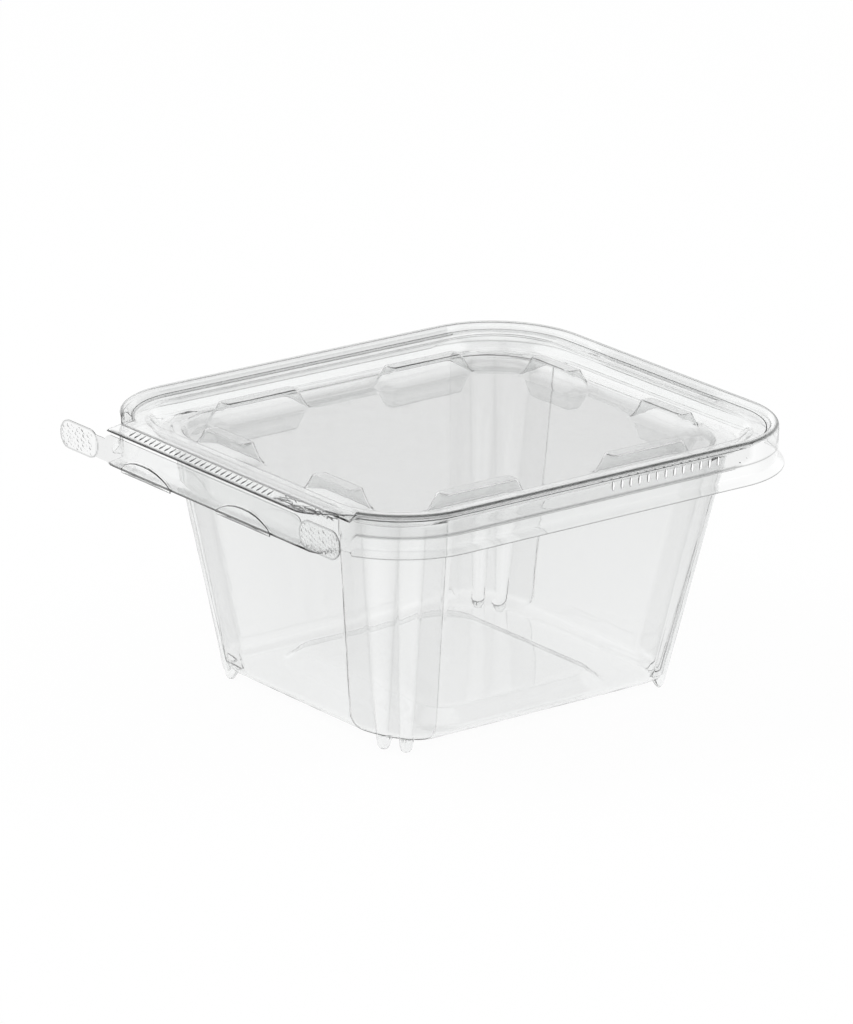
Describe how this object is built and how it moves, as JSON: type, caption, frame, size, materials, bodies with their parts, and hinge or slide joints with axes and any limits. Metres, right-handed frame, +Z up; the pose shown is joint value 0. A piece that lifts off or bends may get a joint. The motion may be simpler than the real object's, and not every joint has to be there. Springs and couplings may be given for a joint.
{
  "type": "plastic clamshell pack",
  "caption": "Small clear clamshell food pack: ribbed tapered tub, recessed lid with stacking lugs, and a tear strip hinge with pull tabs.",
  "frame": {"origin": "middle of the closed pack's box, on the surface that it stands on", "axes": "+X along the longer side, away from the hinge; +Y along the hinge line; +Z up"},
  "size_m": [0.1366, 0.1142, 0.0647],
  "materials": {
    "tub": "clear gloss PET sheet",
    "tear_strip": "clear gloss PET sheet, stippled tabs",
    "lid": "clear gloss PET sheet"
  },
  "bodies": {
    "tub": {"tub": "tub"},
    "strip": {"tear_strip": "tear_strip"},
    "lid": {"lid": "lid"}
  },
  "joints": [
    {"name": "strip_fold", "type": "hinge", "parent": "tub", "child": "strip", "pos_m": [-0.06775, 0, 0.0554], "axis": [0, -1, 0], "range_deg": [0, 90]},
    {"name": "lid_fold", "type": "hinge", "parent": "strip", "child": "lid", "pos_m": [-0.06775, 0, 0.0627], "axis": [0, -1, 0], "range_deg": [0, 90]}
  ],
  "couplings": [
    {"joint": "strip_fold", "follows": "lid_fold", "ratio": 1}
  ]
}
